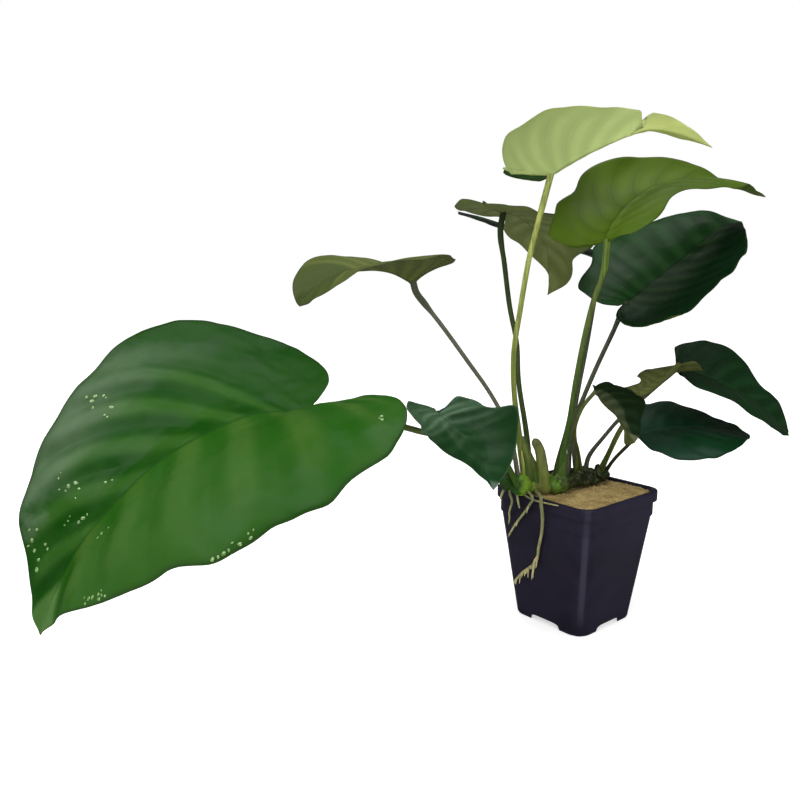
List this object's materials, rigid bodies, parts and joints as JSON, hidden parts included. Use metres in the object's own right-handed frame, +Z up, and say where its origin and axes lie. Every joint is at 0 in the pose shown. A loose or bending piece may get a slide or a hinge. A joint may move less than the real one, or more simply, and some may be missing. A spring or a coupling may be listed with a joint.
{
  "type": "potted anubias plant",
  "caption": "Broad-leaved aquarium plant with long-stalked heart-shaped leaves on a creeping rhizome, rooted in a square black nursery pot.",
  "frame": {"origin": "middle of the whole plant's bounding box, on the ground that the pot's feet stand on", "axes": "+Z up; +X along one side of the pot, away from the long big leaf that leans out; +Y along the side next to it, right-handed"},
  "size_m": [0.548, 0.2974, 0.3669],
  "materials": {
    "pot_black": "satin moulded plastic",
    "medium_tan": "rough tan rooting foam, faintly granular",
    "rhizome_green": "smooth green to brown rind with rings",
    "shoot_green": "smooth, slightly waxy",
    "scale_pale": "dry papery",
    "root_cream": "matt, finely wrinkled",
    "leaf_pale": "pale matt underside with fine veins",
    "leaf_olive": "matt olive underside with a darker midrib",
    "leaf_bright": "waxy green with sunken side veins and water drops",
    "leaf_dark": "waxy very dark green with a bluish sheen",
    "stalk_light": "smooth light green",
    "stalk_green": "smooth green",
    "stalk_dark": "smooth grey green"
  },
  "bodies": {
    "root": {"pot": "pot_black", "growing_medium": "medium_tan", "rhizome": "rhizome_green", "young_shoot": "shoot_green", "bud_scale": "scale_pale", "root_long": "root_cream", "root_straight": "root_cream", "root_stub": "root_cream", "root_bent": "root_cream", "root_rim": "root_cream", "root_spike": "root_cream", "top_leaf": "leaf_pale", "top_leaf_stalk": "stalk_light", "upper_right_leaf": "leaf_olive", "upper_right_leaf_stalk": "stalk_green", "dark_back_leaf": "leaf_dark", "dark_back_leaf_stalk": "stalk_dark", "hanging_leaf": "leaf_olive", "hanging_leaf_stalk": "stalk_dark", "left_arching_leaf": "leaf_olive", "left_arching_leaf_stalk": "stalk_dark", "big_front_leaf": "leaf_bright", "big_front_leaf_stalk": "stalk_green", "low_front_leaf": "leaf_dark", "low_front_leaf_stalk": "stalk_dark", "right_arching_leaf": "leaf_dark", "right_arching_leaf_stalk": "stalk_dark", "small_olive_leaf": "leaf_olive", "small_olive_leaf_stalk": "stalk_green", "low_right_leaf": "leaf_dark", "low_right_leaf_stalk": "stalk_dark", "folded_young_leaf": "leaf_dark", "folded_young_leaf_stalk": "stalk_light", "rear_leaf": "leaf_dark", "rear_leaf_stalk": "stalk_dark"}
  },
  "joints": []
}
